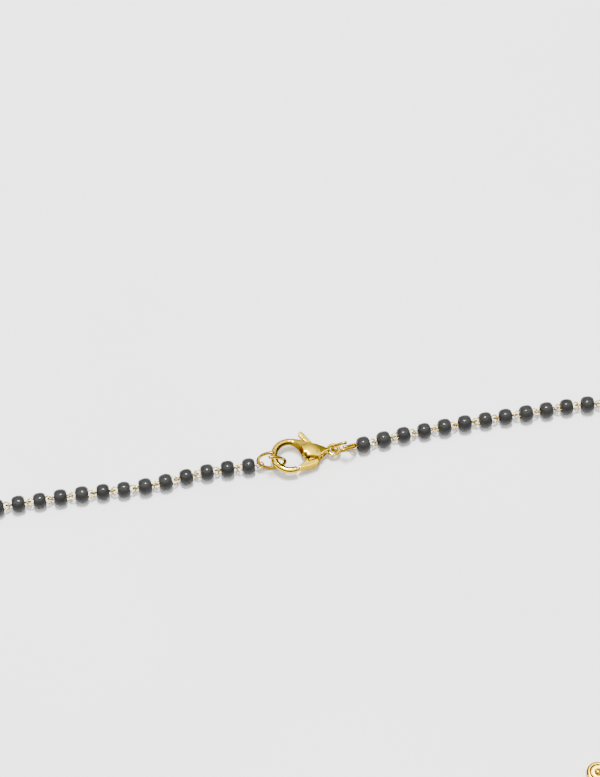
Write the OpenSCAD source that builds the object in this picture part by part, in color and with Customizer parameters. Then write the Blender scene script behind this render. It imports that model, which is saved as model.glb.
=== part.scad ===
// Mangalsutra: a necklace of black glass beads on gold wire links, closed by
// a lobster clasp, with a scalloped gold pendant. It lies flat on a surface.
// Lengths are in millimetres. The clasp's hook is modelled round its own
// centre, and the chain's route is measured from that centre too.

/* [Beads] */
// Outside diameter of a glass bead
bead_d = 2.8; // [2.7:0.05:3]
// Length of a bead along its wire
bead_t = 2.24; // [2.1:0.02:2.4]
// Diameter of the hole at the middle of a bead
bead_hole_d = 0.94; // [0.9:0.02:1]
// How much a bead's size varies, as a share
bead_vary = 0.025; // [0:0.005:0.03]
// How far a bead tilts on its wire, in degrees
bead_tilt = 1.6; // [0:0.2:1.8]
// Radius of a bead's round corners
corner_r = 0.62; // [0.54:0.02:0.66]

/* [Wire links] */
// Diameter of the gold link wire
wire_d = 0.26; // [0.2:0.02:0.28]
// Radius of a wire eye, to the middle of its wire
eye_r = 0.6; // [0.57:0.01:0.66]
// How far an eye sinks into the mouth of the bead's hole
eye_sink = 0.33; // [0.2:0.01:0.36]
// Room round an eye in the mouth of the bead's hole
eye_play = 0.28; // [0.27:0.01:0.32]
// How far two hooked eyes lie short of being pulled tight
link_slack = 0.38; // [0.34:0.02:0.42]
// Part of a turn that the wire makes in each eye, in degrees
eye_turn = 335; // [300:5:345]
// Room between the bead at each end and its jump ring
end_room = 0.2; // [0.15:0.05:0.4]

/* [Jump rings] */
// Diameter of the jump ring wire
ring_wire_d = 0.56; // [0.5:0.02:0.6]
// Outside diameter of the ring through the clasp's hook
left_ring_d = 5.2; // [5:0.1:5.5]
// Outside diameter of the ring through the clasp's tail eye
right_ring_d = 4.5; // [4.3:0.1:4.8]
// Sideways spread of each half of a ring at its cut, in degrees
ring_spread = 5; // [4.5:0.5:6]
// How far each half runs on past the cut, in degrees
ring_overrun = 12; // [0:1:20]

/* [Clasp] */
// Radius of the hook, to the middle of its section
hook_r = 2.78; // [2.7:0.04:2.86]
// Diameter of the hook's section
hook_d = 1.15; // [1:0.05:1.2]
// Thickness of the clasp's body at its middle
claw_t = 2.3; // [2.1:0.1:2.5]
// Distance from the hook's centre to the tail eye's centre
tail_x = 7.65; // [7.5:0.05:7.8]
// Radius of the tail eye, to the middle of its section
tail_eye_r = 0.95; // [0.9:0.05:1.05]
// Diameter of the tail eye's section
tail_eye_d = 0.6; // [0.5:0.05:0.65]
// Height of the clasp's middle above the surface, at the hook's centre
clasp_z = 1.9; // [1.8:0.05:2]
// Slope of the clasp down towards its tail, in degrees
clasp_slope = 4; // [3:0.5:5]

/* [Lever] */
// Thickness of the lever's tongue, inside the clasp's slot
tongue_t = 0.9; // [0.7:0.05:1]
// Thickness of the gate, outside the slot
gate_t = 1.4; // [1.2:0.1:1.6]
// How far the thumb tab stands out from the lever's pivot
tab_reach = 4.8; // [4.6:0.05:5]
// Diameter of the pin that the lever turns on
pin_d = 0.5; // [0.4:0.05:0.6]
// How far the lever opens, in degrees
lever_open = 22; // [10:1:24]
// Running clearance between the lever and what it moves in
run_gap = 0.1; // [0.08:0.01:0.12]
// Clearance of the pin in its holes
pin_gap = 0.04; // [0.02:0.01:0.06]

/* [Pendant] */
// Number of petals round the pendant
petal_n = 12; // [10:1:12]
// Radius of the circle that the petals' centres lie on
petal_ring_r = 6.6; // [6.4:0.1:7]
// Radius of one petal
petal_r = 1.85; // [1.8:0.05:1.95]
// Thickness of the pendant's plate
plate_t = 0.9; // [0.7:0.1:1.1]
// Height of the dome above the plate
dome_h = 1.7; // [1.2:0.1:2.2]
// Radius of the dome where it meets the plate
dome_r = 3.3; // [2.8:0.1:3.5]
// Diameter of the raised wire trim
trim_d = 0.4; // [0.3:0.05:0.45]
// Radius of the pendant's own eye, to the middle of its wire
pendant_eye_r = 1.3; // [1.25:0.05:1.4]
// Diameter of the pendant eye's wire
pendant_eye_d = 0.7; // [0.6:0.05:0.75]
// Diameter of the bail's wire
bail_d = 0.5; // [0.4:0.05:0.55]
// Overall length of the bail
bail_l = 6; // [5.8:0.1:6.5]
// Number of the bead gap, counted from the right, that the bail hangs in
bail_gap = 42; // [40:1:44]

/* [Hidden] */
$fn = 48;
fine = 96;
gold = "goldenrod";

// Clearance that neighbouring pieces keep, a little more where a curve closes
// it, and a length past any clasp piece
gap = 0.1;
spare = 0.05;
far = 20;

// A wire eye's outer radius, and how far along the wire its centre lies
wire_r = wire_d / 2;
eye_out = eye_r + wire_r;
eye_x = bead_t / 2 + eye_out - eye_sink;
pitch = 2 * (eye_x + eye_r - wire_r) - link_slack;

// The bead's end face is highest where an eye clears its mouth
bead_r = bead_d / 2;
hole_r = bead_hole_d / 2;
crest_r = sqrt(2 * eye_out * eye_sink - eye_sink * eye_sink) + eye_play;

// The hole flares along an arc that ends a little inside the crest
mouth_in = 0.04;
mouth_r = crest_r - mouth_in;
flare_r = (pow(mouth_r - hole_r, 2) + pow(bead_t / 2, 2)) / (2 * (mouth_r - hole_r));

// Jump rings stand on the surface, round the hook and through the tail eye
ring_wire_r = ring_wire_d / 2;
left_r = left_ring_d / 2 - ring_wire_r;
right_r = right_ring_d / 2 - ring_wire_r;
left_lean = 0;
right_lean = 16;
left_turn = -8;
right_turn = 2;

// A point turned about the origin by a degrees
function turned(v, a) = [v.x * cos(a) - v.y * sin(a), v.x * sin(a) + v.y * cos(a)];

// Where a standing ring's wire is at height z, on its right (side 1) or its
// left (side -1), measured from the point that the ring stands on
function ring_cross(r, turn, lean, side, z) =
    let (up = z - ring_wire_r, a = lean + side * ring_spread, h = up / cos(a) - r)
    turned([side * sqrt(r * r - h * h), -up * tan(a)], turn);

// The left ring seats on the inner side of the hook, a little below its middle
claw_r = hook_r + hook_d / 2;
claw_hole_r = hook_r - hook_d / 2;
hook_hold_y = -1.15;
hook_side_x = -sqrt(pow(claw_hole_r, 2) - pow(ring_wire_r - hook_hold_y, 2));
hook_hold = [hook_side_x + gap + spare + ring_wire_r, hook_hold_y];
hook_low_z = clasp_z - hook_side_x * sin(clasp_slope) - hook_d / 4;
left_foot = hook_hold - ring_cross(left_r, left_turn, left_lean, 1, hook_low_z);

// The right ring passes through the tail eye, close to its middle
tail_z = clasp_z - tail_x * sin(clasp_slope);
tail_off = [-0.07, -0.03];
tail_hold = [tail_x * cos(clasp_slope), 0] + tail_off;
right_foot = tail_hold - ring_cross(right_r, right_turn, right_lean, -1, tail_z);

// The end wires' eyes hang on the rings, a little inwards because the rings
// curve there, and their beads lie clear of the rings
eye_in = [0.02, 0];
right_eye = right_foot + ring_cross(right_r, right_turn, right_lean, 1, bead_r) - eye_in;
left_eye = left_foot + ring_cross(left_r, left_turn, left_lean, -1, bead_r) + eye_in;
first_a = 4;
last_a = -3;
end_clear = ring_wire_r + end_room + bead_t / 2;
first_run = right_foot.x + right_r + end_clear - right_eye.x;
last_run = left_eye.x - left_foot.x + left_r + end_clear;
first_eye_x = first_run / cos(first_a);
last_eye_x = last_run / cos(last_a);
first_bead = right_eye + first_run * [1, tan(first_a)];
last_bead = left_eye - last_run * [1, tan(last_a)];

// The chain's route, from the tail's side round the neck to the hook's side.
// It sets off and arrives in line with the end wires.
lead_l = 3.6;
route = [
    first_bead, first_bead + lead_l * [cos(first_a), sin(first_a)], [20.5, 0.5], [31, 0.6],
    [42, 0.4], [53, 0], [64, -2.5], [74, -9],
    [80.5, -19], [82.5, -32], [80.5, -45], [75, -57.5], [66.5, -68.5], [55, -78], [41, -86],
    [24, -89], [4, -87], [-16, -83.5], [-36, -79.5], [-56, -74], [-73, -65], [-86, -52.5],
    [-91, -37], [-89, -21.5], [-80, -9], [-66, -2], [-53, 0.2], [-43, 0.3], [-34, -0.1],
    [-25, -0.6], [-16, 0], last_bead - lead_l * [cos(last_a), sin(last_a)], last_bead
];
route_n = len(route) - 1;
steps = 16;

function before(i) = i > 0 ? route[i - 1] : 2 * route[0] - route[1];
function after(i) = i < route_n ? route[i + 1] : 2 * route[route_n] - route[route_n - 1];
function along(i, t) =
    let (p0 = before(i), p1 = route[i], p2 = route[i + 1], p3 = after(i + 1))
    0.5 * (2 * p1 + (p2 - p0) * t + (2 * p0 - 5 * p1 + 4 * p2 - p3) * t * t
        + (3 * p1 - p0 - 3 * p2 + p3) * t * t * t);
track = [
    for (i = [0 : route_n - 1], k = [0 : steps - 1]) along(i, k / steps),
    route[route_n]
];
track_n = len(track) - 1;
runs = [
    for (i = 0, s = 0; i <= track_n; s = s + (i < track_n ? norm(track[i + 1] - track[i]) : 0),
        i = i + 1) s
];
route_l = runs[track_n];
xs = [for (i = [0 : track_n]) [runs[i], track[i].x]];
ys = [for (i = [0 : track_n]) [runs[i], track[i].y]];
function at(s) = [lookup(s, xs), lookup(s, ys)];

// Beads and wires, evenly spaced but for a small wander. Their number is odd,
// so that the eyes at both ends lie square to the jump rings' wire.
bead_n = 2 * floor(route_l / pitch / 2 + 0.5) + 1;
step_l = route_l / (bead_n - 1);
wander = 0.03;
function wave(i, k) = sin(i * k);
function place(i) =
    i * step_l + (i == 0 || i == bead_n - 1 ? 0 : wander * wave(i, 137));
function spot(i) = at(place(i));
function heading(i) =
    let (a = at(place(i) - pitch / 2), b = at(place(i) + pitch / 2))
    atan2(b.y - a.y, b.x - a.x);
function bead_scale(i) = 1 + bead_vary * wave(i, 101);

// Each wire's eyes lie about a quarter turn from its neighbours' eyes
base_roll = 14;
roll_vary = 7;
function roll(i) =
    i == 0 ? right_lean + ring_spread
    : i == bead_n - 1 ? left_lean - ring_spread
    : base_roll + 90 * (i % 2) + roll_vary * wave(i, 73);
function spot_z(i) = bead_r * bead_scale(i);

// The hook's two ends, and how far it sinks into the body at its root
hook_tip_a = -74;
hook_root_a = 58;

// The claw's outline, from its left edge at the hook's circle to the neck,
// whose round end meets the tail eye
claw_x = -0.8;
neck_r = 0.42;
neck_off = 0.22;
neck = [tail_x - tail_eye_r - neck_off, 0];

// Radius and middle of the two faces that bulge above and below the body
face_r = 8;
face_mid = [3.6, 0.4];

// The lever turns on its hub, and its tongue and arm run in the slot
pivot = [4.95, -0.4];
hub_r = 0.6;
tongue_r = 0.6;
arm_r = 0.42;
tab_a = 119;
tab_tip = pivot + tab_reach * [cos(tab_a), sin(tab_a)];

// The gate's tip lies just past the hook's, clear of it as the lever swings in
hook_tip = hook_r * [cos(hook_tip_a), sin(hook_tip_a)];
gate_tip_r = 0.3;
tip_drop = [0.1, -0.03];
gate_tip = hook_tip + (gate_tip_r + gap) * [-sin(hook_tip_a), cos(hook_tip_a)] + tip_drop;
gate_mid = [2.95, -2];
gate_mid_r = 0.72;
gate_end = [4.05, -1.85];
gate_end_r = 0.62;
function way_from_pivot(p) = atan2(p.y - pivot.y, p.x - pivot.x) + 360;
gate_a = way_from_pivot(gate_tip);

// The cheeks above and below the lever: their radius round its pivot, the
// direction in which their edge leaves it, and how far from it they reach
cheek_r = 0.9;
cheek_a = 168;
cheek_reach = 2.25;

// What the body leaves free for the gate: a little past the lever's travel at
// its inner side, far past it at its outer side, and beyond the gate's reach
gate_past = 5;
gate_outside = 40;
gate_reach = 7;

// The slot's own margin past the tongue's travel, and the tongue's reach
slot_past = 4;
slot_reach = 4.5;

// How far before their edge the cheeks' sweep starts
cheek_lead = 30;

// The pin ends a little below the faces that bulge above and below it
pin_sink = 0.05;
pin_half = sqrt(pow(face_r, 2) - pow(norm(pivot - face_mid), 2)) - face_r + claw_t / 2 - pin_sink;

// The bail's loop is just tall enough to go round two hooked eyes
bail_r = bail_d / 2;
link_top = bead_r * (1 + bead_vary) + eye_out;
bail_end_r = (link_top + gap + spare) / 2;
bail_span = bail_l - bail_d - 2 * bail_end_r;

// The pendant's eye overlaps its petal, is raised clear of the bail's lower
// wire, and stands on a block
petal_out = petal_ring_r + petal_r;
eye_lap = 0.2;
eye_rise = 0.1;
block = [0.75, 1];
block_back = 1;

// A grain's radius, as a share of the trim's diameter
grain_share = 1.2;
pendant_eye_x = petal_out + pendant_eye_r - pendant_eye_d / 2 - eye_lap;
pendant_eye_z = bail_d + gap + pendant_eye_d / 2 + eye_rise;

// The bail hangs pulled out, and the pendant hangs inwards from a gap between
// two beads
bail_x = pendant_eye_x - bail_r + bail_end_r;
hang_x = bail_x + bail_span - gap / 2;
hang_s = (place(bail_gap) + place(bail_gap + 1)) / 2;
hang = at(hang_s);
hang_a = (heading(bail_gap) + heading(bail_gap + 1)) / 2 - 90;

// The origin is under the middle of the whole necklace
low = [min([for (p = track) p.x]), min([for (p = track) p.y])] - bead_r * [1, 1];
high = [max([for (p = track) p.x]) + bead_r, tab_tip.y + arm_r];
middle = (low + high) / 2;

// A bar with round ends of radius ra at a and rb at b, seen from above. Its
// sides lie a hair inside the rounds, so that they cross and don't just touch.
bar_inset = 0.985;
module bar(a, ra, b, rb) {
    dir = (b - a) / norm(b - a);
    side = [-dir.y, dir.x] * bar_inset;
    translate(a) circle(r = ra);
    translate(b) circle(r = rb);
    polygon([a + side * ra, a - side * ra, b - side * rb, b + side * rb]);
}

// A sector round the lever's pivot for a bar of half width half, its far end
// pushed out so that it holds the arc there
sweep_bulge = 1.1;
module sweep_room(from, to, half, reach) {
    d1 = [cos(from), sin(from)];
    d2 = [cos(to), sin(to)];
    dm = [cos((from + to) / 2), sin((from + to) / 2)];
    polygon([
        pivot - turned(d1, 90) * half, pivot + d1 * reach - turned(d1, 90) * half,
        pivot + dm * reach * sweep_bulge,
        pivot + d2 * reach + turned(d2, 90) * half, pivot + turned(d2, 90) * half
    ]);
}

module clasp_place() {
    translate([0, 0, clasp_z]) rotate([0, clasp_slope, 0]) children();
}

// The claw seen from above, without its slot
module claw_plan() {
    difference() {
        union() {
            difference() {
                bar([0, 0], claw_r, neck, neck_r);
                translate(pivot) rotate(cheek_a - 180)
                    translate([-far, -far - cheek_r * bar_inset]) square([2 * far, far]);
            }
            translate(pivot) circle(r = cheek_r);
        }
        circle(r = claw_hole_r);
        translate([claw_x - far, -far / 2]) square(far);
        gate_room();
    }
}

// All that the gate needs at rest and as it swings in
module gate_room() {
    difference() {
        sweep_room(gate_a - lever_open - gate_past, gate_a + gate_outside, gate_tip_r,
            gate_reach);
        translate(pivot) circle(r = cheek_reach);
    }
}

// What the cheeks sweep over, seen from the lever as it swings in
module cheek_sweep() {
    translate(pivot) circle(r = cheek_r + run_gap);
    intersection() {
        sweep_room(cheek_a - cheek_lead, cheek_a + lever_open, cheek_r + run_gap, gate_reach);
        translate(pivot) circle(r = cheek_reach + run_gap);
    }
}

module slot_plan() {
    translate(pivot) circle(r = hub_r + run_gap);
    sweep_room(tab_a - lever_open, tab_a, arm_r + run_gap, tab_reach + 1);
    sweep_room(gate_a - lever_open - slot_past, way_from_pivot(gate_end) + slot_past,
        tongue_r + run_gap, slot_reach);
}

module clasp_body() {
    color(gold) translate([-middle.x, -middle.y, 0]) clasp_place() difference() {
        union() {
            // The round hook
            rotate_extrude(start = hook_root_a, angle = 360 + hook_tip_a - hook_root_a)
                translate([hook_r, 0]) circle(r = hook_d / 2);
            // The body, thickest at its middle
            intersection() {
                translate([0, 0, -claw_t / 2]) linear_extrude(claw_t) claw_plan();
                translate([face_mid.x, face_mid.y, claw_t / 2 - face_r])
                    sphere(r = face_r, $fn = fine);
                translate([face_mid.x, face_mid.y, face_r - claw_t / 2])
                    sphere(r = face_r, $fn = fine);
            }
            // The cast tail eye
            translate([tail_x, 0, 0]) rotate_extrude()
                translate([tail_eye_r, 0]) circle(r = tail_eye_d / 2);
        }
        slot_t = tongue_t + 2 * run_gap;
        translate([0, 0, -slot_t / 2]) linear_extrude(slot_t) slot_plan();
        translate([pivot.x, pivot.y, -claw_t]) cylinder(r = pin_d / 2 + pin_gap, h = 2 * claw_t);
    }
}

module clasp_lever() {
    color(gold) translate([-middle.x, -middle.y, 0]) clasp_place() difference() {
        union() {
            translate([0, 0, -tongue_t / 2]) linear_extrude(tongue_t) {
                translate(pivot) circle(r = hub_r);
                bar(pivot, arm_r, tab_tip, arm_r);
                bar(pivot, hub_r, gate_end, tongue_r);
                bar(pivot, hub_r, gate_mid, tongue_r);
            }
            translate([0, 0, -gate_t / 2]) linear_extrude(gate_t) difference() {
                union() {
                    bar(gate_tip, gate_tip_r, gate_mid, gate_mid_r);
                    bar(gate_mid, gate_mid_r, gate_end, gate_end_r);
                }
                cheek_sweep();
            }
        }
        translate([pivot.x, pivot.y, -claw_t]) cylinder(r = pin_d / 2 + pin_gap, h = 2 * claw_t);
    }
}

module clasp_pin() {
    color(gold) translate([-middle.x, -middle.y, 0]) clasp_place()
        translate([pivot.x, pivot.y, -pin_half]) cylinder(r = pin_d / 2, h = 2 * pin_half);
}

// An open jump ring standing on its edge: two half turns that part at the top
module jump_ring(r, foot, turn, lean) {
    color(gold) translate([foot.x - middle.x, foot.y - middle.y, 0]) rotate([0, 0, turn])
        translate([0, 0, ring_wire_r]) rotate([lean, 0, 0]) {
            rotate([ring_spread, 0, 0]) translate([0, 0, r]) rotate([90, 0, 0])
                rotate_extrude(start = -90, angle = 180 + ring_overrun)
                    translate([r, 0]) circle(r = ring_wire_r);
            rotate([-ring_spread, 0, 0]) translate([0, 0, r]) rotate([90, 0, 0])
                rotate_extrude(start = 90 - ring_overrun, angle = 180 + ring_overrun)
                    translate([r, 0]) circle(r = ring_wire_r);
        }
}

module jump_ring_left() {
    jump_ring(left_r, left_foot, left_turn, left_lean);
}

module jump_ring_right() {
    jump_ring(right_r, right_foot, right_turn, right_lean);
}

// A bead's section: a barrel with round corners and a flaring hole. Between
// its corners the inner part lies a hair lower than they do.
end_lap = 0.03;
module bead_section() {
    intersection() {
        translate([hole_r + flare_r, 0]) circle(r = flare_r);
        union() {
            for (side = [-1, 1]) translate([bead_r - corner_r, side * (bead_t / 2 - corner_r)])
                circle(r = corner_r);
            translate([0, end_lap - bead_t / 2]) square([crest_r, bead_t - 2 * end_lap]);
            translate([0, corner_r - bead_t / 2]) square([bead_r, bead_t - 2 * corner_r]);
        }
    }
}

module bead_string() {
    color("black") translate([-middle.x, -middle.y, 0]) for (i = [0 : bead_n - 1]) {
        translate([spot(i).x, spot(i).y, spot_z(i)])
            rotate([0, 0, heading(i) + bead_tilt * wave(i, 59)]) rotate([0, 90, 0])
                scale(bead_scale(i)) rotate_extrude() bead_section();
    }
}

// One wire: a straight run through its bead and an eye at each end. The run
// is a hair thinner than the eyes' wire.
run_share = 0.9;
module wire_link(back_x, front_x) {
    for (end = [[180, back_x], [0, front_x]]) rotate([0, 0, end[0]]) translate([end[1], 0, 0])
        rotate_extrude(start = 180, angle = eye_turn) translate([eye_r, 0]) circle(r = wire_r);
    rotate([0, 90, 0]) translate([0, 0, eye_r - back_x])
        cylinder(r = wire_r * run_share, h = back_x + front_x - 2 * eye_r);
}

module wire_links() {
    color(gold) translate([-middle.x, -middle.y, 0]) for (i = [0 : bead_n - 1])
        translate([spot(i).x, spot(i).y, spot_z(i)]) rotate([0, 0, heading(i)])
            rotate([roll(i), 0, 0])
                wire_link(i == 0 ? first_eye_x : eye_x, i == bead_n - 1 ? last_eye_x : eye_x);
}

module pendant_place() {
    translate([hang.x - middle.x, hang.y - middle.y, 0]) rotate([0, 0, hang_a])
        translate([hang_x, 0, 0]) rotate([0, 0, 180]) children();
}

module pendant() {
    color(gold) pendant_place() {
        linear_extrude(plate_t) {
            circle(r = petal_ring_r);
            for (i = [0 : petal_n - 1]) rotate(360 * i / petal_n)
                translate([petal_ring_r, 0]) circle(r = petal_r);
        }
        // A raised rim and a grain on each petal
        rim_r = petal_ring_r * sin(180 / petal_n) - trim_d / 2 - gap / 2;
        grain_r = trim_d * grain_share;
        for (i = [0 : petal_n - 1]) rotate(360 * i / petal_n) translate([petal_ring_r, 0, plate_t]) {
            rotate_extrude() translate([rim_r, 0]) circle(r = trim_d / 2);
            sphere(r = grain_r);
        }
        // The dome and the ring of wire round it
        dome_ball = (dome_r * dome_r + dome_h * dome_h) / (2 * dome_h);
        intersection() {
            translate([0, 0, plate_t + dome_h - dome_ball]) sphere(r = dome_ball, $fn = fine);
            cylinder(r = dome_r + 1, h = plate_t + dome_h + 1);
        }
        translate([0, 0, plate_t]) rotate_extrude()
            translate([dome_r + trim_d, 0]) circle(r = trim_d / 2);
        // Its eye, raised on a block so that the bail passes under
        translate([pendant_eye_x, 0, pendant_eye_z]) rotate_extrude()
            translate([pendant_eye_r, 0]) circle(r = pendant_eye_d / 2);
        translate([petal_out - block_back, -block.y / 2, gap])
            cube([block.x, block.y, pendant_eye_z - gap]);
    }
}

// The bail: a long loop of wire on edge, round the chain and through the eye
module pendant_bail() {
    color(gold) pendant_place() translate([bail_x, 0, bail_r + bail_end_r]) rotate([90, 0, 0]) {
        rotate_extrude(start = 90, angle = 180) translate([bail_end_r, 0]) circle(r = bail_r);
        translate([bail_span, 0, 0]) rotate_extrude(start = -90, angle = 180)
            translate([bail_end_r, 0]) circle(r = bail_r);
        for (side = [-1, 1]) translate([0, side * bail_end_r, 0]) rotate([0, 90, 0])
            cylinder(r = bail_r, h = bail_span);
    }
}

clasp_body();
clasp_lever();
clasp_pin();
jump_ring_left();
jump_ring_right();
bead_string();
wire_links();
pendant();
pendant_bail();
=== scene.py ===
# %% [markdown]
# # A black bead necklace with its clasp, lying on a pale surface
# This lesson dresses a necklace that has already been built as exact solids. The frame holds every
# piece in its real place and at its real size, in metres. Each cell below takes one piece or one
# finish: it says what that is on the real necklace, how it could be made in Blender, and why it is
# made the way it is.

# %% Load the necklace
import math

import bmesh
import bpy
import numpy as np
from mathutils import Matrix, Vector


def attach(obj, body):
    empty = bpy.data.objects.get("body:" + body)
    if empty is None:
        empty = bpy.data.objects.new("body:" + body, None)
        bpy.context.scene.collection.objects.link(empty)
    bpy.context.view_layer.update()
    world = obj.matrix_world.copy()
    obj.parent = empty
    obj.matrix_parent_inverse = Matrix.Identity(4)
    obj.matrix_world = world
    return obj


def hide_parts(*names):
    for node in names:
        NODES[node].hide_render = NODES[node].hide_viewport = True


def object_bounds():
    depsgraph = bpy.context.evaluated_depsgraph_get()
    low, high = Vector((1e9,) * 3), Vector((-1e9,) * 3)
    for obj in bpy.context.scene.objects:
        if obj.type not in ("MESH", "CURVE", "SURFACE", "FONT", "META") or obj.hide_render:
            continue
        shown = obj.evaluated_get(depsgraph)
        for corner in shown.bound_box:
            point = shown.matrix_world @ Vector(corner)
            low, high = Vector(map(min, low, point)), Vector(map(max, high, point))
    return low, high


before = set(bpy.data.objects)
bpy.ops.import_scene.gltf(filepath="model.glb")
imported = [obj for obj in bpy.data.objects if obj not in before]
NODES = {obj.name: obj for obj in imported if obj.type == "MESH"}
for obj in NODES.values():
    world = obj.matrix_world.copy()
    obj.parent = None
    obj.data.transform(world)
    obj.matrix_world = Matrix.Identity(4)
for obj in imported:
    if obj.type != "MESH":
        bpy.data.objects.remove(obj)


def plain_box(bounds):
    return [[float(c) for c in corner] for corner in bounds]


solids_box = plain_box(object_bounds())
print("nodes:", sorted(NODES))
print("box of the solids, mm:", [[round(c * 1000, 2) for c in p] for p in solids_box])

# %% [markdown]
# ## The camera
# The photograph was taken by hand, from above and in front, with the chain running a little uphill
# to the right. A long lens is used here, because the beads at the two edges of the picture are
# nearly as large as those in the middle. The camera is placed by a point on the surface under the
# clasp, the direction it is seen from, and the distance. This keeps each number something that can
# be read off the picture.

# %% Place the camera
def new_object(name, data):
    obj = bpy.data.objects.new(name, data)
    bpy.context.scene.collection.objects.link(obj)
    return obj


aim = Vector((0.00625, 0.04395, 0.0))
turn, tilt, off_axis = math.radians(11.4), math.radians(62), math.radians(1.46)
distance, focal_px, frame_px, sensor_mm = 0.450, 2610, 600, 36


def look_direction(down):
    """The camera's compass direction, dipped by the angle down."""
    return Vector((math.sin(turn) * math.cos(down), math.cos(turn) * math.cos(down), -math.sin(down)))


lens = bpy.data.cameras.new("Camera")
lens.sensor_fit = "HORIZONTAL"
lens.sensor_width = sensor_mm
lens.lens = focal_px / frame_px * sensor_mm
lens.clip_start = 0.01
camera = new_object("Camera", lens)
camera.location = aim - look_direction(tilt) * distance
camera.rotation_euler = look_direction(tilt - off_axis).to_track_quat("-Z", "Y").to_euler()
bpy.context.scene.camera = camera
print("lens %.1f mm, camera %.0f mm above the surface" % (lens.lens, camera.location.z * 1000))

# %% [markdown]
# ## The surface and the light
# The necklace lies on something white that the light washes out, and soft shadows fall just below
# the beads. A plain plane with a pale, faintly uneven paint stands for it. One lamp hangs nearly
# overhead and a little behind, which puts the small highlight above each bead's middle and the
# shadow in front of it. A wide, weak window behind gives the clasp its bright upper edge, and two
# strips at the sides give the gold long streaks. The world is a bright ring high over a dim
# horizon, because polished gold only looks like gold when it has something dark to reflect beside
# something bright.

# %% Helpers for node trees
def add_node(tree, kind, **values):
    """A new node. Each value goes to the node's own setting of that name, or else to its input."""
    node = tree.nodes.new(kind)
    for key, value in values.items():
        if hasattr(node, key):
            setattr(node, key, value)
        else:
            node.inputs[key].default_value = value
    return node


def new_material(name):
    material = bpy.data.materials.new(name)
    material.use_nodes = True
    material.node_tree.nodes.clear()
    return material, material.node_tree


def ramp(tree, source, stops):
    """A colour ramp fed by source. Each stop is a place from 0 to 1 and its colour."""
    node = tree.nodes.new("ShaderNodeValToRGB")
    elements = node.color_ramp.elements
    while len(elements) < len(stops):
        elements.new(0.5)
    for element, (place, colour) in zip(elements, stops):
        element.position = place
        element.color = (*colour, 1)
    tree.links.new(source, node.inputs["Fac"])
    return node.outputs["Color"]


# %% The surface it lies on
def pale_paint():
    material, tree = new_material("pale_surface")
    place = add_node(tree, "ShaderNodeTexCoord")
    cloud = add_node(tree, "ShaderNodeTexNoise", Scale=14, Detail=3)
    tree.links.new(place.outputs["Object"], cloud.inputs["Vector"])
    cool, white = (0.89, 0.89, 0.91), (0.95, 0.95, 0.95)
    tone = ramp(tree, cloud.outputs["Fac"], [(0.3, cool), (0.7, white)])
    shader = add_node(tree, "ShaderNodeBsdfPrincipled", Roughness=0.7)
    out = add_node(tree, "ShaderNodeOutputMaterial")
    tree.links.new(tone, shader.inputs["Base Color"])
    tree.links.new(shader.outputs["BSDF"], out.inputs["Surface"])
    return material


floor_half, floor_below = 3.0, 0.00002
corners = [(x * floor_half, y * floor_half, 0) for x, y in ((-1, -1), (1, -1), (1, 1), (-1, 1))]
floor_mesh = bpy.data.meshes.new("floor")
floor_mesh.from_pydata(corners, [], [(0, 1, 2, 3)])
floor_mesh.materials.append(pale_paint())
floor = new_object("floor", floor_mesh)
floor.location.z = solids_box[0][2] - floor_below
print("the surface lies %.2f mm under the solids" % (floor_below * 1000))


# %% The lamps and the world
def lamp(name, spot, size, watts, tint=(1, 1, 1)):
    """A rectangular lamp at spot that looks at the middle of the necklace."""
    light = bpy.data.lights.new(name, "AREA")
    light.shape = "RECTANGLE"
    light.size, light.size_y = size
    light.energy = watts
    light.color = tint
    obj = new_object(name, light)
    obj.location = spot
    obj.rotation_euler = (Vector() - Vector(spot)).to_track_quat("-Z", "Y").to_euler()


lamp("key", spot=(0.05, 0.26, 1.1), size=(0.18, 0.24), watts=29)
lamp("window", spot=(0, 1.3, 0.95), size=(1.5, 0.6), watts=4)
lamp("left_strip", spot=(-0.9, 0.1, 0.7), size=(0.2, 0.8), watts=3, tint=(1, 0.98, 0.95))
lamp("right_strip", spot=(0.9, 0.3, 0.6), size=(0.15, 0.7), watts=2)


def studio_world(strength):
    """Light by height: dim at the horizon, a bright ring high up, and dimmer again overhead."""
    world = bpy.data.worlds.new("studio")
    bpy.context.scene.world = world
    world.use_nodes = True
    tree = world.node_tree
    tree.nodes.clear()
    ray = add_node(tree, "ShaderNodeTexCoord")
    split = add_node(tree, "ShaderNodeSeparateXYZ")
    tree.links.new(ray.outputs["Generated"], split.inputs["Vector"])
    horizon, shoulder = (0.15, (0.008, 0.006, 0.005)), (0.78, (0.1, 0.1, 0.1))
    ring, overhead = (0.9, (0.9, 0.9, 0.9)), (0.98, (0.3, 0.3, 0.3))
    sky = ramp(tree, split.outputs["Z"], [horizon, shoulder, ring, overhead])
    glow = add_node(tree, "ShaderNodeBackground", Strength=strength)
    out = add_node(tree, "ShaderNodeOutputWorld")
    tree.links.new(sky, glow.inputs["Color"])
    tree.links.new(glow.outputs["Background"], out.inputs["Surface"])


studio_world(5.0)
print("lamps:", sorted(light.name for light in bpy.data.lights))
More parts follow.
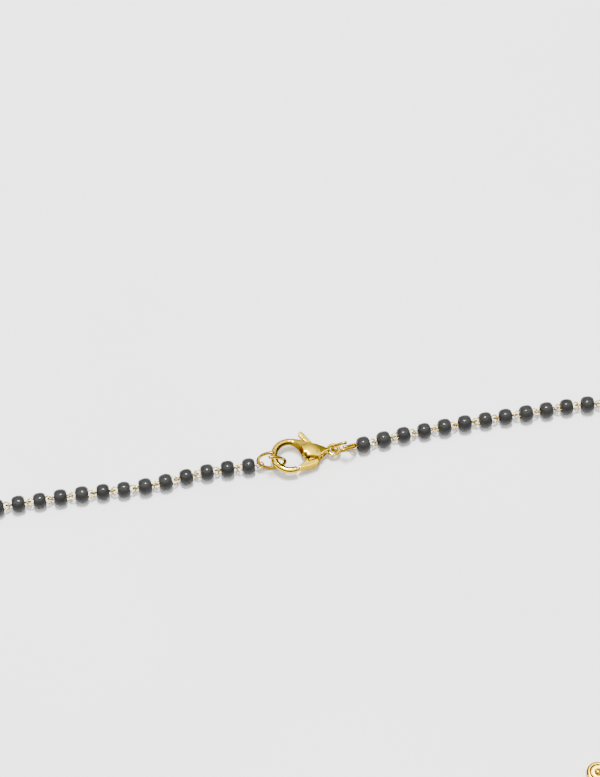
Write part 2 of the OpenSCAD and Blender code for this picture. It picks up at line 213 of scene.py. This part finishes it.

# %% [markdown]
# ## Two finishes that share their effects
# Plated gold isn't one colour: it is paler where it has been rubbed, a thin haze dulls it in patches,
# and its corners and the inside of the hook are painted darker as shade. Glass beads have a skin
# with faint ripples from the heat that softened their ends. Both need the same two effects, so each
# effect is a shader group that is built once: `haze` gives a slow, patchy mask, and `fine_marks`
# gives the height of small scratches or ripples. Metal that is seen edge-on turns white by itself,
# more than gold plate does, so each gold also has a tint for its edges.

# %% The haze group
def effect_group(name, inputs, output):
    """A shader group with named inputs and their defaults, one named output, and its two end nodes."""
    group = bpy.data.node_groups.new(name, "ShaderNodeTree")
    for label, value in inputs.items():
        socket = group.interface.new_socket(label, in_out="INPUT", socket_type="NodeSocketFloat")
        socket.default_value = value
    group.interface.new_socket(output, in_out="OUTPUT", socket_type="NodeSocketFloat")
    start, end = group.nodes.new("NodeGroupInput"), group.nodes.new("NodeGroupOutput")
    return group, start, end


half_way, half_width = 0.5, 0.22
haze, start, end = effect_group("haze", {"Patch Scale": 300.0, "Contrast": 1.0}, "Mask")
place = haze.nodes.new("ShaderNodeTexCoord")
patches = add_node(haze, "ShaderNodeTexNoise", Detail=5, Roughness=0.62)
level = add_node(haze, "ShaderNodeMapRange")
spread = add_node(haze, "ShaderNodeMath", operation="MULTIPLY")
spread.inputs[1].default_value = half_width
low, high = (add_node(haze, "ShaderNodeMath", operation=op) for op in ("SUBTRACT", "ADD"))
for limit in (low, high):
    limit.inputs[0].default_value = half_way
    haze.links.new(spread.outputs[0], limit.inputs[1])
haze.links.new(place.outputs["Object"], patches.inputs["Vector"])
haze.links.new(start.outputs["Patch Scale"], patches.inputs["Scale"])
haze.links.new(start.outputs["Contrast"], spread.inputs[0])
haze.links.new(patches.outputs["Fac"], level.inputs["Value"])
haze.links.new(low.outputs[0], level.inputs["From Min"])
haze.links.new(high.outputs[0], level.inputs["From Max"])
haze.links.new(level.outputs["Result"], end.inputs["Mask"])

# %% The fine marks group
fine_marks, start, end = effect_group("fine_marks", {"Mark Scale": 4000.0, "Stretch": 6.0}, "Height")
place = fine_marks.nodes.new("ShaderNodeTexCoord")
drag = add_node(fine_marks, "ShaderNodeCombineXYZ", X=1.0, Z=1.0)
pull = add_node(fine_marks, "ShaderNodeVectorMath", operation="MULTIPLY")
marks = add_node(fine_marks, "ShaderNodeTexNoise", Detail=2, Roughness=0.5)
fine_marks.links.new(start.outputs["Stretch"], drag.inputs["Y"])
fine_marks.links.new(place.outputs["Object"], pull.inputs[0])
fine_marks.links.new(drag.outputs["Vector"], pull.inputs[1])
fine_marks.links.new(pull.outputs["Vector"], marks.inputs["Vector"])
fine_marks.links.new(start.outputs["Mark Scale"], marks.inputs["Scale"])
fine_marks.links.new(marks.outputs["Fac"], end.inputs["Height"])
print("groups:", [g.name for g in (haze, fine_marks)])


# %% Helpers for the finishes
def grouped(tree, group, **values):
    """A shader group placed in a material. The value patch_scale goes to its input Patch Scale."""
    node = tree.nodes.new("ShaderNodeGroup")
    node.node_tree = group
    for key, value in values.items():
        node.inputs[key.replace("_", " ").title()].default_value = value
    return node


def mixed(tree, share, first, second):
    """Two colours mixed, each a socket or three numbers. The share is a mask or a plain number."""
    node = add_node(tree, "ShaderNodeMix", data_type="RGBA")
    if isinstance(share, float):
        node.inputs["Factor"].default_value = share
    else:
        tree.links.new(share, node.inputs["Factor"])
    sockets = [s for s in node.inputs if s.type == "RGBA"]
    for socket, colour in zip(sockets, (first, second)):
        if isinstance(colour, tuple):
            socket.default_value = (*colour, 1)
        else:
            tree.links.new(colour, socket)
    return [s for s in node.outputs if s.type == "RGBA"][0]


def between(tree, mask, least, most):
    """A roughness that runs from least to most with the mask."""
    return ramp(tree, mask, [(0, (least,) * 3), (1, (most,) * 3)])


def relief(tree, height, strength, depth):
    node = add_node(tree, "ShaderNodeBump", Strength=strength, Distance=depth)
    tree.links.new(height, node.inputs["Height"])
    return node.outputs["Normal"]


def feed(tree, shader, colour, roughness, normal):
    """Joins the changing values to the shader, and the shader to the material's output."""
    out = add_node(tree, "ShaderNodeOutputMaterial")
    tree.links.new(colour, shader.inputs["Base Color"])
    tree.links.new(roughness, shader.inputs["Roughness"])
    tree.links.new(normal, shader.inputs["Normal"])
    tree.links.new(shader.outputs["BSDF"], out.inputs["Surface"])


# %% Gold
def plated_gold(name, bright, shade_colour, worn, edge, patch_scale, mark_scale, stretch, rough):
    """Gold plate: bright on rubbed crests, painted shade in corners, patchy haze and fine polishing marks.

    Metal seen edge-on turns white by itself; edge is the specular tint that keeps its flanks gold.
    """
    corner, crown, wear = 0.1, 0.7, 0.35
    material, tree = new_material(name)
    crest = add_node(tree, "ShaderNodeAttribute", attribute_name="crest")
    cloud = grouped(tree, haze, patch_scale=patch_scale, contrast=1.2)
    marks = grouped(tree, fine_marks, mark_scale=mark_scale, stretch=stretch)
    height = add_node(tree, "ShaderNodeMapRange")
    height.inputs["From Min"].default_value = corner
    height.inputs["From Max"].default_value = crown
    tree.links.new(crest.outputs["Fac"], height.inputs["Value"])
    # Painted shade: where crest is low, in corners and on the wall inside the hook, the colour runs to the
    # dark shade colour.
    body = mixed(tree, height.outputs["Result"], shade_colour, bright)
    rubbed = mixed(tree, cloud.outputs["Mask"], body, worn)
    colour = mixed(tree, wear, body, rubbed)
    roughness = between(tree, cloud.outputs["Mask"], *rough)
    normal = relief(tree, marks.outputs["Height"], strength=0.12, depth=0.00002)
    shader = add_node(tree, "ShaderNodeBsdfPrincipled", Metallic=1.0)
    shader.inputs["Specular Tint"].default_value = (*edge, 1)
    feed(tree, shader, colour, roughness, normal)
    return material


cast_gold = plated_gold(
    "cast_gold", bright=(0.68, 0.47, 0.03), shade_colour=(0.09, 0.04, 0.008), worn=(0.74, 0.57, 0.07),
    edge=(0.2, 0.1, 0.01), patch_scale=260, mark_scale=2600, stretch=4, rough=(0.12, 0.2))
drawn_gold = plated_gold(
    "drawn_gold", bright=(0.46, 0.29, 0.02), shade_colour=(0.16, 0.08, 0.01), worn=(0.5, 0.35, 0.05),
    edge=(0.45, 0.24, 0.03), patch_scale=420, mark_scale=3600, stretch=3, rough=(0.15, 0.28))
link_gold = plated_gold(
    "link_gold", bright=(0.6, 0.42, 0.06), shade_colour=(0.42, 0.3, 0.07), worn=(0.6, 0.47, 0.14),
    edge=(1.0, 0.85, 0.55), patch_scale=500, mark_scale=4200, stretch=3, rough=(0.18, 0.32))
stamped_gold = plated_gold(
    "stamped_gold", bright=(0.64, 0.44, 0.04), shade_colour=(0.24, 0.13, 0.02), worn=(0.7, 0.54, 0.1),
    edge=(0.7, 0.4, 0.06), patch_scale=220, mark_scale=2400, stretch=4, rough=(0.15, 0.28))


# %% Black glass
def bead_glass():
    """Opaque black glass with a slightly hazy, faintly rippled skin; each bead has its own tone."""
    darkest, palest, film = (0.014, 0.014, 0.014), (0.021, 0.021, 0.02), (0.026, 0.026, 0.025)
    material, tree = new_material("bead_glass")
    tone = add_node(tree, "ShaderNodeAttribute", attribute_name="tone")
    cloud = grouped(tree, haze, patch_scale=900, contrast=1.0)
    ripple = grouped(tree, fine_marks, mark_scale=900, stretch=1.6)
    body = ramp(tree, tone.outputs["Fac"], [(0, darkest), (1, palest)])
    colour = mixed(tree, cloud.outputs["Mask"], body, film)
    roughness = between(tree, cloud.outputs["Mask"], 0.3, 0.42)
    normal = relief(tree, ripple.outputs["Height"], strength=0.3, depth=0.00003)
    shader = add_node(tree, "ShaderNodeBsdfPrincipled", IOR=1.11)
    shader.inputs["Coat Weight"].default_value = 0.24
    shader.inputs["Coat Roughness"].default_value = 0.09
    feed(tree, shader, colour, roughness, normal)
    return material


black_glass = bead_glass()
print("materials:", [m.name for m in (cast_gold, drawn_gold, link_gold, stamped_gold, black_glass)])

# %% [markdown]
# ## Where each bead and wire lies
# The beads and the wires could be placed by repeating the chain's route, but the solids already
# hold it. Each loose island of a node's mesh is one bead or one wire, so its middle and the
# directions in which it is longest and flattest say where it is and how it is turned. Read this
# way, the looks can't drift away from the solids.

# %% Islands of a node's mesh
same_point = 5e-7


def islands(node):
    """The loose parts of a node's mesh, each as (corner points, triangles' corner numbers)."""
    mesh = NODES[node].data
    co = np.zeros(len(mesh.vertices) * 3, np.float32)
    mesh.vertices.foreach_get("co", co)
    faces = np.zeros(len(mesh.loops), np.int32)
    mesh.loops.foreach_get("vertex_index", faces)
    steps = np.round(co.reshape(-1, 3) / same_point).astype(np.int64)
    grid, same = np.unique(steps, axis=0, return_inverse=True)
    faces = same.ravel()[faces].reshape(-1, 3)
    island = np.arange(len(grid))
    while (island[faces].min(axis=1) != island[faces].max(axis=1)).any():
        lowest = island[faces].min(axis=1)
        for corner in faces.T:
            np.minimum.at(island, corner, lowest)
        island = island[island]
    points, found = grid * same_point, []
    of_face = island[faces[:, 0]]
    for label in np.unique(of_face):
        mine, numbers = np.unique(faces[of_face == label], return_inverse=True)
        found.append((points[mine], numbers.reshape(-1, 3)))
    return found


def axes_of(points, triangles):
    """Middle of an island's surface and its three directions, longest first."""
    corners = points[triangles]
    middles = corners.mean(axis=1)
    areas = np.linalg.norm(np.cross(corners[:, 1] - corners[:, 0], corners[:, 2] - corners[:, 0]), axis=1)
    centre = (middles * areas[:, None]).sum(0) / areas.sum()
    off = middles - centre
    directions = np.linalg.eigh((off * areas[:, None]).T @ off)[1]
    return centre, directions[:, ::-1].T


bead_parts = islands("bead_string")
wire_parts = islands("wire_links")
print(len(bead_parts), "beads and", len(wire_parts), "wires")


# %% [markdown]
# ## Things that repeat: one shape, many places
# There are over a hundred beads and as many wires. Copying them in a loop would work, but a
# Geometry Nodes tree says it better: put this shape on each of these points, turned and sized as
# the point says, then make it real and give it its finish. The points are a small mesh with named
# attributes, so the tree itself stays short and serves both beads and wires.

# %% A tree that puts one shape on every point
def repeat_tree():
    """The tree, and the identifier of each of its named inputs."""
    tree = bpy.data.node_groups.new("one shape on each point", "GeometryNodeTree")
    inputs = {"Points": "Geometry", "Shape": "Object", "Finish": "Material", "Tone Seed": "Int"}
    sockets = {}
    for label, kind in inputs.items():
        item = tree.interface.new_socket(label, in_out="INPUT", socket_type="NodeSocket" + kind)
        sockets[label] = item.identifier
    tree.interface.new_socket("Pieces", in_out="OUTPUT", socket_type="NodeSocketGeometry")
    start, end = tree.nodes.new("NodeGroupInput"), tree.nodes.new("NodeGroupOutput")
    shape = tree.nodes.new("GeometryNodeObjectInfo")
    to_points = tree.nodes.new("GeometryNodeMeshToPoints")
    tone = add_node(tree, "FunctionNodeRandomValue", data_type="FLOAT")
    keep = add_node(tree, "GeometryNodeStoreNamedAttribute", data_type="FLOAT", domain="POINT", Name="tone")
    facing = add_node(tree, "GeometryNodeInputNamedAttribute", data_type="FLOAT_VECTOR", Name="facing")
    size = add_node(tree, "GeometryNodeInputNamedAttribute", data_type="FLOAT_VECTOR", Name="size")
    place = tree.nodes.new("GeometryNodeInstanceOnPoints")
    real = tree.nodes.new("GeometryNodeRealizeInstances")
    finish = tree.nodes.new("GeometryNodeSetMaterial")
    link = tree.links.new
    link(start.outputs["Points"], to_points.inputs["Mesh"])
    link(to_points.outputs["Points"], keep.inputs["Geometry"])
    link(start.outputs["Tone Seed"], tone.inputs["Seed"])
    link([s for s in tone.outputs if s.type == "VALUE"][0], [s for s in keep.inputs if s.name == "Value"][0])
    link(start.outputs["Shape"], shape.inputs["Object"])
    link(keep.outputs["Geometry"], place.inputs["Points"])
    link(shape.outputs["Geometry"], place.inputs["Instance"])
    link(facing.outputs["Attribute"], place.inputs["Rotation"])
    link(size.outputs["Attribute"], place.inputs["Scale"])
    link(place.outputs["Instances"], real.inputs["Geometry"])
    link(real.outputs["Geometry"], finish.inputs["Geometry"])
    link(start.outputs["Finish"], finish.inputs["Material"])
    link(finish.outputs["Geometry"], end.inputs["Pieces"])
    return tree, sockets


on_points, on_points_sockets = repeat_tree()
print("inputs of the tree:", list(on_points_sockets))


# %% Use the tree and keep its result as a plain mesh
def settle(obj):
    """Gives the object its evaluated shape as a plain mesh, and takes its modifiers away."""
    bpy.context.view_layer.update()
    evaluated = obj.evaluated_get(bpy.context.evaluated_depsgraph_get())
    mesh = bpy.data.meshes.new_from_object(evaluated)
    mesh.name = obj.name
    obj.modifiers.clear()
    obj.data = mesh


def repeated(name, shape, finish, places, seed):
    """Copies of shape as one object; places are (centre, facing matrix, size) for each copy."""
    points = bpy.data.meshes.new(name)
    points.from_pydata([tuple(c) for c, _, _ in places], [], [])
    facings = [tuple(m.to_euler()) for _, m, _ in places]
    sizes = [(s, s, s) for _, _, s in places]
    for label, rows in (("facing", facings), ("size", sizes)):
        data = points.attributes.new(label, "FLOAT_VECTOR", "POINT").data
        data.foreach_set("vector", np.array(rows, np.float32).ravel())
    obj = new_object(name, points)
    modifier = obj.modifiers.new("Repeat", "NODES")
    modifier.node_group = on_points
    for label, value in (("Shape", shape), ("Finish", finish), ("Tone Seed", seed)):
        modifier[on_points_sockets[label]] = value
    settle(obj)
    obj.data.materials.clear()
    obj.data.materials.append(finish)
    obj.data.shade_smooth()
    return obj


def triangles(obj):
    return sum(len(p.vertices) - 2 for p in obj.data.polygons)


# %% [markdown]
# ## The glass beads
# A bead like this is cut from a drawn glass tube and tumbled in heat, so its ends are soft and its
# hole flares. Its section is turned round the hole. Outside it is a superellipse, which is rounder
# than a barrel and fuller than a ball, and inside it is the flaring arc of the hole. A lathe shape
# of a few hundred faces is enough, because a bead is only sixteen pixels tall in the picture, and
# there are more than a hundred of them.

# %% The section of one bead
bead_half, bead_radius, hole_radius = 0.00112, 0.0014, 0.00047
core_radius, fullness, flare_radius = 0.0006, 2.35, 0.00184


def outside(a):
    """A point (along, out) of the bead's skin; a runs from -90 to 90 degrees, end to end."""
    along = math.copysign(abs(math.sin(a)) ** (2 / fullness), a)
    return bead_half * along, core_radius + (bead_radius - core_radius) * abs(math.cos(a)) ** (2 / fullness)


def hole_wall(along):
    return hole_radius + flare_radius - math.sqrt(flare_radius ** 2 - along ** 2)


def bead_section(steps_out, steps_in, lip=0.00002, inset=0.00003, search=0.002):
    """The skin from end to end, then back along the hole's wall.

    The skin ends where it is as close to the wall as the lip is thick, and the wall begins an inset
    further in.
    """
    last = math.pi / 2
    while outside(last)[1] < hole_wall(outside(last)[0]) + lip:
        last -= search
    skin = [outside(-last + 2 * last * i / (steps_out - 1)) for i in range(steps_out)]
    mouth = skin[-1][0] - inset
    wall = [mouth - 2 * mouth * i / (steps_in - 1) for i in range(steps_in)]
    return skin + [(x, hole_wall(x)) for x in wall]


# %% Turn it on the lathe
def turns(count):
    """The angles of count even steps round a circle."""
    return [2 * math.pi * k / count for k in range(count)]


def band(here, there, count):
    """The faces between two closed rows of count points, which start at the numbers here and there."""
    return [(here + i, here + (i + 1) % count, there + (i + 1) % count, there + i) for i in range(count)]


def closed_shell(name, verts, faces):
    """A new object whose faces all point outwards."""
    mesh = bpy.data.meshes.new(name)
    mesh.from_pydata(verts, [], faces)
    bm = bmesh.new()
    bm.from_mesh(mesh)
    bmesh.ops.recalc_face_normals(bm, faces=bm.faces)
    bm.to_mesh(mesh)
    bm.free()
    return new_object(name, mesh)


def lathe(name, section, sides):
    """A closed section of (along, out) points turned round the X axis."""
    count = len(section)
    verts = [(x, r * math.cos(t), r * math.sin(t)) for t in turns(sides) for x, r in section]
    faces = [face for k in range(sides) for face in band(k * count, (k + 1) % sides * count, count)]
    return closed_shell(name, verts, faces)


bead_shape = lathe("bead_shape", bead_section(steps_out=13, steps_in=5), sides=26)
print("one bead has", triangles(bead_shape), "triangles")


# %% Put a bead on every bead solid
def facing_matrix(x_axis, y_axis):
    x = Vector(x_axis).normalized()
    z = x.cross(Vector(y_axis)).normalized()
    return Matrix((x, z.cross(x), z)).transposed()


wire_places = []
for points, faces in wire_parts:
    centre, (long_way, wide_way, _) = axes_of(points, faces)
    along, across = (points - centre) @ long_way, (points - centre) @ wide_way
    wire_places.append((centre, long_way, wide_way, along, across))
wire_middles = np.array([centre for centre, *_ in wire_places])

mostly_up = (0.1, 0.2, 1)
bead_places = []
for points, faces in bead_parts:
    centre, directions = axes_of(points, faces)
    nearest = int(np.argmin(np.linalg.norm(wire_middles - centre, axis=1)))
    wire_way = wire_places[nearest][1]
    hole_way = max(directions, key=lambda d: abs(d @ wire_way))
    length = np.ptp((points - centre) @ hole_way)
    bead_places.append((centre, facing_matrix(hole_way, mostly_up), length / (2 * bead_half)))
beads = repeated("beads", bead_shape, black_glass, bead_places, seed=7)
bpy.data.objects.remove(bead_shape)
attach(beads, "necklace")
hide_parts("bead_string")
bead_sizes = [size for _, _, size in bead_places]
print("beads:", triangles(beads), "triangles; sizes %.3f to %.3f" % (min(bead_sizes), max(bead_sizes)))

# %% [markdown]
# ## The wires through the beads
# Each bead is threaded on a short wire whose ends are bent round into eyes, and each eye hooks
# into its neighbour's. A curve bevel would do for one wire; here the wire is a tube swept along a
# short list of points, made once and put on every wire solid by the same tree as the beads. The
# wires at the two ends reach further, to hang on the jump rings, so they get a shape of their own.

# %% Sweep a tube along a path
def tube(name, path, radius, sides):
    """A closed tube with flat ends along a smooth path of points."""
    path = [Vector(p) for p in path]
    verts, side = [], Vector((0, 0, 1))
    for i, p in enumerate(path):
        ahead = (path[min(i + 1, len(path) - 1)] - path[max(i - 1, 0)]).normalized()
        side = (side - ahead * side.dot(ahead)).normalized()
        up = ahead.cross(side)
        verts += [tuple(p + (side * math.cos(t) + up * math.sin(t)) * radius) for t in turns(sides)]
    last = (len(path) - 1) * sides
    faces = [face for row in range(0, last, sides) for face in band(row, row + sides, sides)]
    faces += [tuple(range(sides))[::-1], tuple(range(last, last + sides))]
    return closed_shell(name, verts, faces)


wire_radius, eye_radius, bend_room = 0.00013, 0.0006, 0.00012
eye_start, eye_turn = math.radians(14), math.radians(335)


def eye_path(reach, steps=20):
    """Round the eye at the wire's far end, from the stem to the wire's cut end."""
    angles = [math.pi + eye_start + (eye_turn - eye_start) * i / (steps - 1) for i in range(steps)]
    return [(reach + eye_radius * math.cos(a), eye_radius * math.sin(a), 0) for a in angles]


def wire_path(back, front):
    """From the cut end of the eye at the back, along the stem, round the eye at the front."""
    round_back = [(-x, -y, 0) for x, y, _ in eye_path(back)][::-1]
    lead = eye_radius + bend_room
    stem = [(-(back - lead), 0, 0), (0, 0, 0), (front - lead, 0, 0)]
    return round_back + stem + eye_path(front)


# %% Put a wire on every wire solid
def wire_facing(long_way, wide_way, along, across):
    """The flat side is turned so that the gap in the eye comes where the solid has it."""
    if (across * np.sign(along)).mean() > 0:
        wide_way = -wide_way
    return facing_matrix(long_way, wide_way)


def wires_like(name, back, front, places, seed):
    """Wires whose eyes lie back and front of their middle, one on each place."""
    shape = tube("wire_shape", wire_path(back, front), wire_radius, sides=8)
    made = repeated(name, shape, link_gold, places, seed)
    bpy.data.objects.remove(shape)
    return made


eye_end, clearly_longer = wire_radius + eye_radius, 0.00004
lengths = [np.ptp(along) for _, _, _, along, _ in wire_places]
plain_reach = float(np.median(lengths)) / 2 - eye_end
plain, ends = [], []
for (centre, *shape_of), length in zip(wire_places, lengths):
    if length / 2 - eye_end > plain_reach + clearly_longer:
        ends.append((centre, shape_of))
    else:
        plain.append((Vector(centre), wire_facing(*shape_of), 1.0))
links = [wires_like("bead_wires", plain_reach, plain_reach, plain, seed=11)]
for centre, shape_of in ends:
    long_way, _, along, _ = shape_of
    bead = min(bead_places, key=lambda b: np.linalg.norm(np.array(b[0]) - centre))[0]
    offset = float((np.array(bead) - centre) @ long_way)
    front = float(along.max()) - offset - eye_end
    back = offset - float(along.min()) - eye_end
    place = (Vector(bead), wire_facing(*shape_of), 1.0)
    links.append(wires_like("end_wire", back, front, [place], seed=13))
    print("end wire reaches %.2f and %.2f mm" % (back * 1000, front * 1000))
print("plain wires:", len(plain), "reach %.3f mm" % (plain_reach * 1000))


# %% Join the wires into one piece
def joined(objects, name):
    bm = bmesh.new()
    for obj in objects:
        bm.from_mesh(obj.data)
    mesh = bpy.data.meshes.new(name)
    bm.to_mesh(mesh)
    bm.free()
    mesh.materials.append(objects[0].data.materials[0])
    for obj in objects:
        bpy.data.objects.remove(obj)
    mesh.shade_smooth()
    return new_object(name, mesh)


bead_wires = joined(links, "bead_wires")
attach(bead_wires, "necklace")
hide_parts("wire_links")
print("wires:", triangles(bead_wires), "triangles")

# %% [markdown]
# ## The cast clasp
# The clasp is cast and tumbled until every edge is soft, which a solid with true edges isn't. Its
# faces could be bevelled one by one, but they meet in too many ways for that. Here the piece gets
# an even skin of small faces instead, and the skin is relaxed until its edges are round. Relaxing
# also makes a thin wire thinner, so what it lost on average nearby is given back along the surface.
# The rivet is polished flush on the real clasp, so the skin runs on over its two ends. The colour
# follows the form: crests are rubbed bright, and corners and the inside of the hook get painted shade.

# %% Copy, skin and relax a solid
def copy_of(node, name, weld=2e-7):
    """A copy of a node's mesh with its loose triangles joined."""
    mesh = bpy.data.meshes.new(name)
    bm = bmesh.new()
    bm.from_mesh(NODES[node].data)
    bmesh.ops.remove_doubles(bm, verts=bm.verts, dist=weld)
    bm.to_mesh(mesh)
    bm.free()
    return new_object(name, mesh)


def read_points(mesh, what):
    values = np.zeros(len(mesh.vertices) * 3)
    mesh.vertices.foreach_get(what, values)
    return values.reshape(-1, 3)


def averager(mesh):
    """A function that replaces each vertex's value by the mean of its neighbours', a few times over."""
    pairs = np.zeros(len(mesh.edges) * 2, int)
    mesh.edges.foreach_get("vertices", pairs)
    a, b = pairs.reshape(-1, 2).T
    degree = np.maximum(np.bincount(pairs, minlength=len(mesh.vertices)), 1)[:, None]

    def around(values, passes):
        for _ in range(passes):
            total = np.zeros_like(values)
            np.add.at(total, a, values[b])
            np.add.at(total, b, values[a])
            values = total / degree
        return values
    return around


def relaxed(obj, face_mm, passes):
    """An even skin of square faces, relaxed. It is worked in millimetres, where the tools have room."""
    obj.data.transform(Matrix.Scale(1000, 4))
    skin = obj.modifiers.new("Skin", "REMESH")
    skin.mode, skin.voxel_size = "VOXEL", face_mm
    settle(obj)
    before = read_points(obj.data, "co")
    ease = obj.modifiers.new("Ease", "SMOOTH")
    ease.factor, ease.iterations = 0.5, passes
    settle(obj)
    after, normal = read_points(obj.data, "co"), read_points(obj.data, "normal")
    lost = ((before - after) * normal).sum(1)[:, None]
    full = after + normal * averager(obj.data)(lost, passes)
    obj.data.vertices.foreach_set("co", full.ravel())
    obj.data.transform(Matrix.Scale(0.001, 4))
    obj.data.shade_smooth()
    return obj


# %% Mark where it wears and where shade is painted, and dress it
def mark_crests(obj, passes, reach):
    """Writes crest: near 1 where the skin bulges out, near 0 in corners, 0.5 where it is flat."""
    mesh = obj.data
    co, normal = read_points(mesh, "co"), read_points(mesh, "normal")
    bulge = ((co - averager(mesh)(co, passes)) * normal).sum(1)
    data = mesh.attributes.new("crest", "FLOAT", "POINT").data
    data.foreach_set("value", np.clip(0.5 + bulge / reach, 0, 1).astype(np.float32))
    return float(np.abs(bulge).max())


def paint_shade_inside(obj, centre, radius, share, steep=1.6):
    """Paints shade on the wall that faces the hook's middle, by lowering crest there."""
    co, normal = read_points(obj.data, "co"), read_points(obj.data, "normal")
    away = co[:, :2] - np.array(centre)
    reach = np.linalg.norm(away, axis=1)
    inward = -(away * normal[:, :2]).sum(1) / np.maximum(reach, 1e-6)
    shade = np.clip(inward * steep, 0, 1) * (reach < radius) * share
    data = obj.data.attributes["crest"].data
    crest = np.zeros(len(co), np.float32)
    data.foreach_get("value", crest)
    data.foreach_set("value", (crest * (1 - shade)).astype(np.float32))


def dress(obj, finish, body, node):
    obj.data.materials.clear()
    obj.data.materials.append(finish)
    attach(obj, body)
    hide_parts(node)
    print(obj.name, triangles(obj), "triangles")


# %% The clasp and its lever
def add_rivet_ends(obj, slot_half, wider, longer):
    """Two plugs in the claw's pin hole, from the slot to the claw's faces, a little wider than the hole."""
    parts = islands("clasp_pin")
    middle, (pin_way, _, _) = axes_of(*parts[0])
    rows = np.concatenate([points for points, _ in parts]) - middle
    half_length = np.abs(rows @ pin_way).max() + longer
    radius = np.linalg.norm(rows - np.outer(rows @ pin_way, pin_way), axis=1).max() + wider
    bm = bmesh.new()
    bm.from_mesh(obj.data)
    length = half_length - slot_half
    turned = Vector(pin_way).to_track_quat("Z", "Y").to_matrix().to_4x4()
    for side in (-1, 1):
        centre = Vector(middle + side * pin_way * (slot_half + length / 2))
        bmesh.ops.create_cone(bm, cap_ends=True, segments=32, radius1=radius, radius2=radius, depth=length,
                              matrix=Matrix.Translation(centre) @ turned)
    bm.to_mesh(obj.data)
    bm.free()
    return obj


claw = add_rivet_ends(copy_of("clasp_body", "claw"), slot_half=0.00058, wider=0.00008, longer=0.00004)
claw = relaxed(claw, face_mm=0.055, passes=110)
lever = relaxed(copy_of("clasp_lever", "lever"), face_mm=0.05, passes=40)
rivet = relaxed(copy_of("clasp_pin", "rivet"), face_mm=0.03, passes=4)
bulges = [mark_crests(obj, passes=20, reach=0.00012) for obj in (claw, lever, rivet)]
print("largest bulge, mm:", [round(bulge * 1000, 3) for bulge in bulges])
# Painted shade on the wall inside the hook.
paint_shade_inside(claw, centre=(0.004329, 0.043099), radius=0.0042, share=0.95)
dress(claw, cast_gold, "necklace", "clasp_body")
dress(lever, cast_gold, "lever", "clasp_lever")
dress(rivet, cast_gold, "necklace", "clasp_pin")

# %% [markdown]
# ## The jump rings and the bail
# These are bent from drawn wire, with a seam where the two ends meet. The wire is round already and
# keeps its form, so a copy of each solid is enough: it is shaded smooth, and the edges of its cut
# ends stay sharp. A skin of small faces would only blur the seam.

# %% The jump rings and the bail
cut_edge = math.radians(40)
formed = {"jump_ring_left": "ring_left", "jump_ring_right": "ring_right", "pendant_bail": "bail"}
for node, name in formed.items():
    ring = copy_of(node, name)
    ring.data.shade_smooth()
    ring.data.set_sharp_from_angle(angle=cut_edge)
    mark_crests(ring, passes=2, reach=0.001)
    dress(ring, drawn_gold, "necklace", node)

# %% [markdown]
# ## The pendant
# The pendant is a thin plate with ringed petals and a dome, pressed and then plated. Its form is in
# the solid, down to the petals. It could be shaded as it is, but its edges would look cut. It gets
# the same skin as the clasp, relaxed only a little, because a pressed edge stays crisper than a
# tumbled one.

# %% The pendant
disc = relaxed(copy_of("pendant", "scalloped_disc"), face_mm=0.085, passes=4)
mark_crests(disc, passes=12, reach=0.00016)
dress(disc, stamped_gold, "necklace", "pendant")
